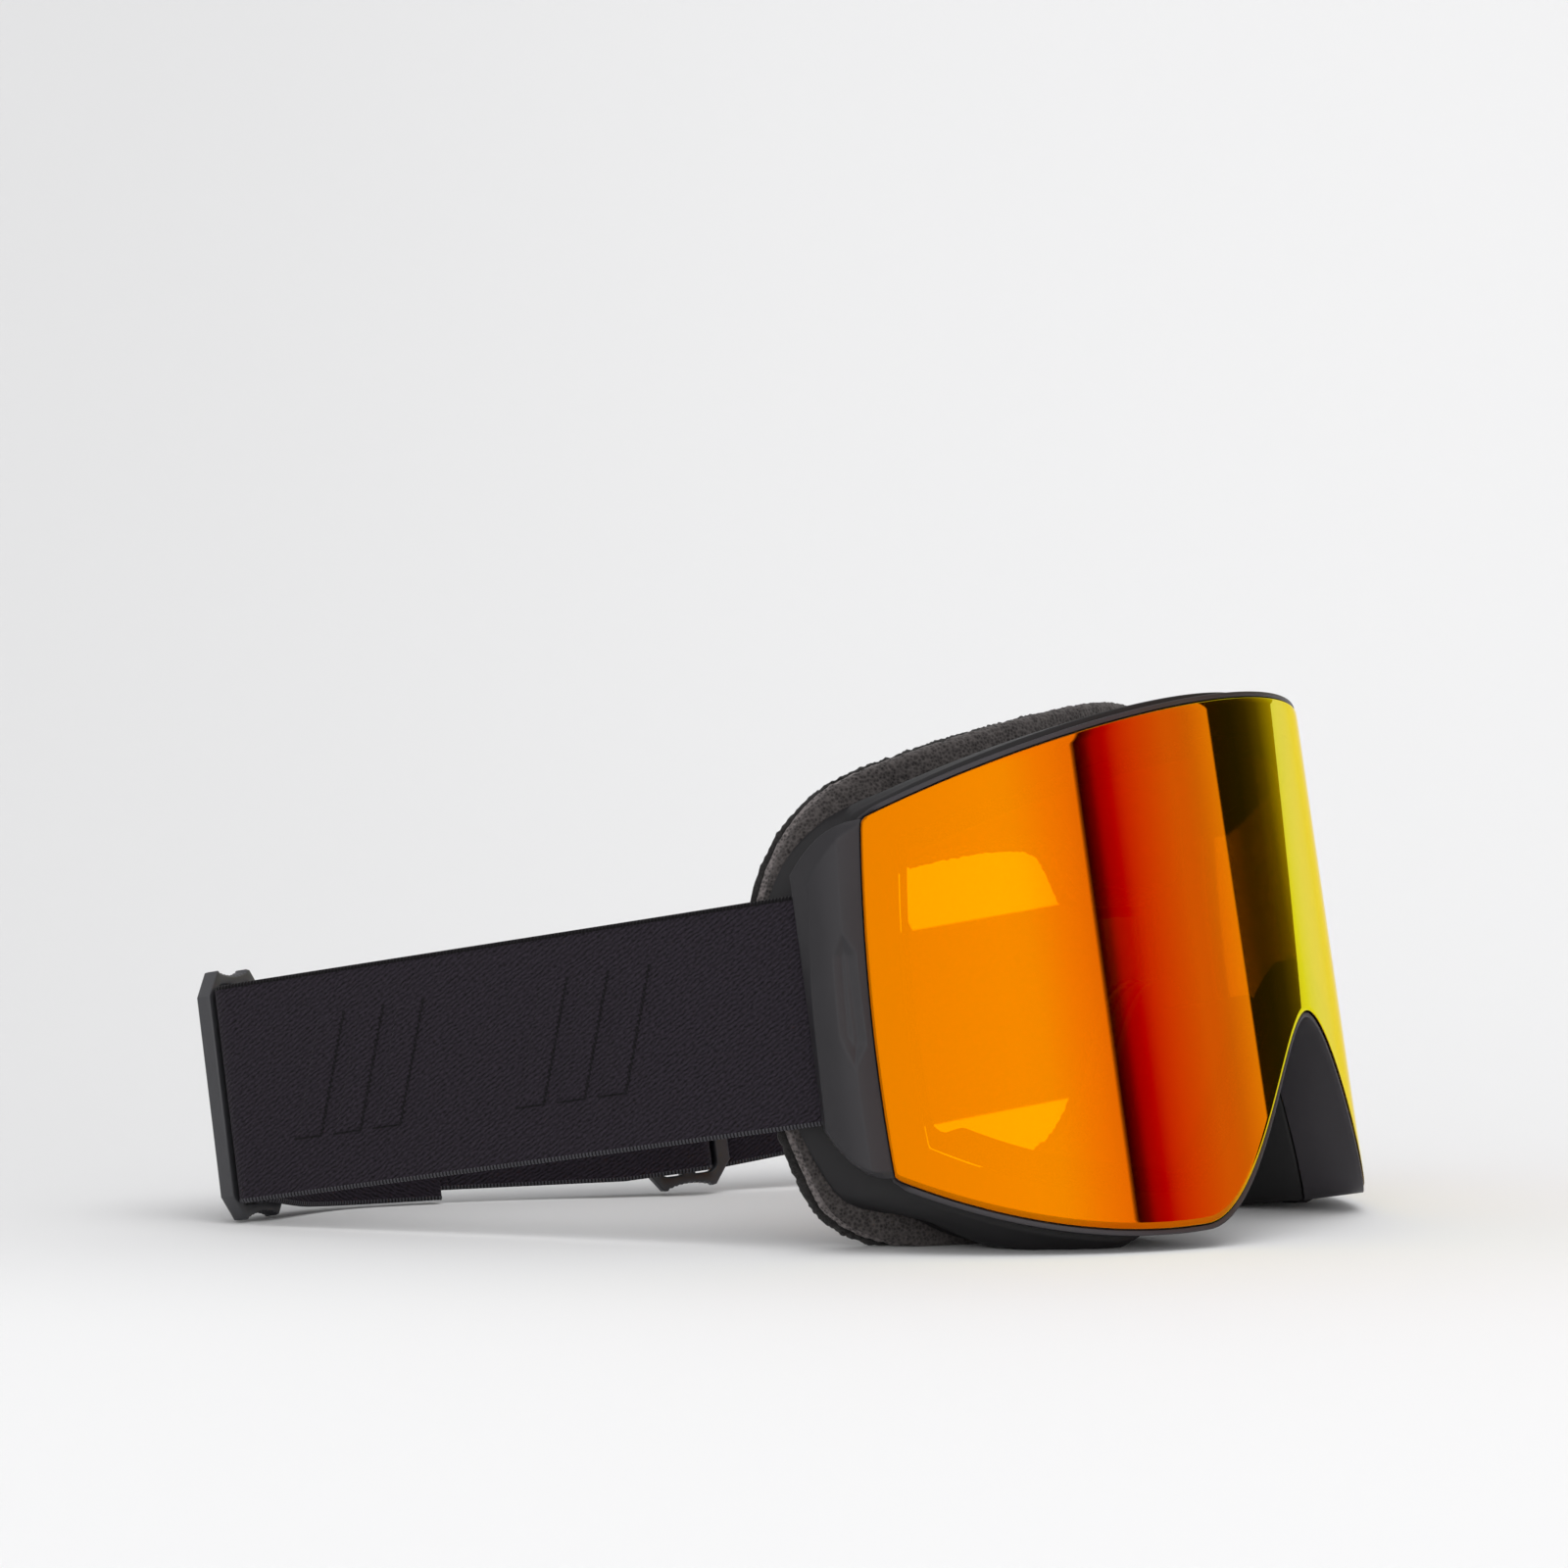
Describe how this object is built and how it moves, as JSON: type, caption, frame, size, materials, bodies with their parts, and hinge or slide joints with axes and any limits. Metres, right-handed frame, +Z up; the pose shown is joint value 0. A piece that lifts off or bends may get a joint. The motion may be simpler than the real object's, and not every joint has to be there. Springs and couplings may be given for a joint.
{
  "type": "ski goggles",
  "caption": "Ski goggles with a mirrored cylindrical lens held by magnets, foam face padding and a wide strap adjusted by tri-glide sliders.",
  "frame": {"origin": "middle of the footprint, on the surface the goggles lie on", "axes": "-Y is the way the goggles face, +X is towards the wearer's left, +Z is up; the goggles lean back by 8.85 degrees as they lie"},
  "size_m": [0.1908, 0.2094, 0.1098],
  "materials": {
    "mirror_lens": "gloss",
    "clear_lens": "gloss",
    "lens_magnet": "satin",
    "gasket": "matte",
    "rigid_plastic": "satin",
    "soft_frame": "matte",
    "cover": "satin",
    "foam": "matte",
    "fleece": "matte",
    "flap_rubber": "matte",
    "bar_steel": "satin",
    "webbing": "matte",
    "slider_plastic": "satin"
  },
  "bodies": {
    "goggles": {"front_frame": "rigid_plastic", "face_frame": "soft_frame", "vent_foam_bottom_left": "foam", "vent_foam_bottom_right": "foam", "foam_base_layer": "foam", "foam_soft_layer": "foam", "face_fleece": "fleece", "nose_flap": "flap_rubber", "side_cover_left": "cover", "side_cover_right": "cover", "strap_bar_left": "bar_steel", "strap_bar_right": "bar_steel", "strap_right": "webbing", "strap_right_rear": "webbing", "strap_left": "webbing", "strap_left_rear": "webbing", "frame_magnet_1": "lens_magnet", "frame_magnet_2": "lens_magnet", "frame_magnet_3": "lens_magnet", "frame_magnet_4": "lens_magnet", "frame_magnet_5": "lens_magnet", "frame_magnet_6": "lens_magnet"},
    "lens_assembly": {"outer_lens": "mirror_lens", "inner_lens": "clear_lens", "lens_gasket": "gasket", "lens_magnet_1": "lens_magnet", "lens_magnet_2": "lens_magnet", "lens_magnet_3": "lens_magnet", "lens_magnet_4": "lens_magnet", "lens_magnet_5": "lens_magnet", "lens_magnet_6": "lens_magnet"},
    "slider_right_body": {"slider_right": "slider_plastic"},
    "slider_left_body": {"slider_left": "slider_plastic"}
  },
  "joints": [
    {"name": "lens_release", "type": "slide", "parent": "goggles", "child": "lens_assembly", "axis": [0, -0.9881, 0.1539], "range_m": [0, 0.04]},
    {"name": "slider_right_adjust", "type": "slide", "parent": "goggles", "child": "slider_right_body", "axis": [0.9963, 0.0863, 0], "range_m": [0, 0.02], "deforming": ["strap_right_rear", "strap_left_rear"]},
    {"name": "slider_left_adjust", "type": "slide", "parent": "goggles", "child": "slider_left_body", "axis": [-0.7808, 0.6248, 0], "range_m": [-0.02, 0.025], "deforming": ["strap_right_rear", "strap_left_rear"]}
  ]
}
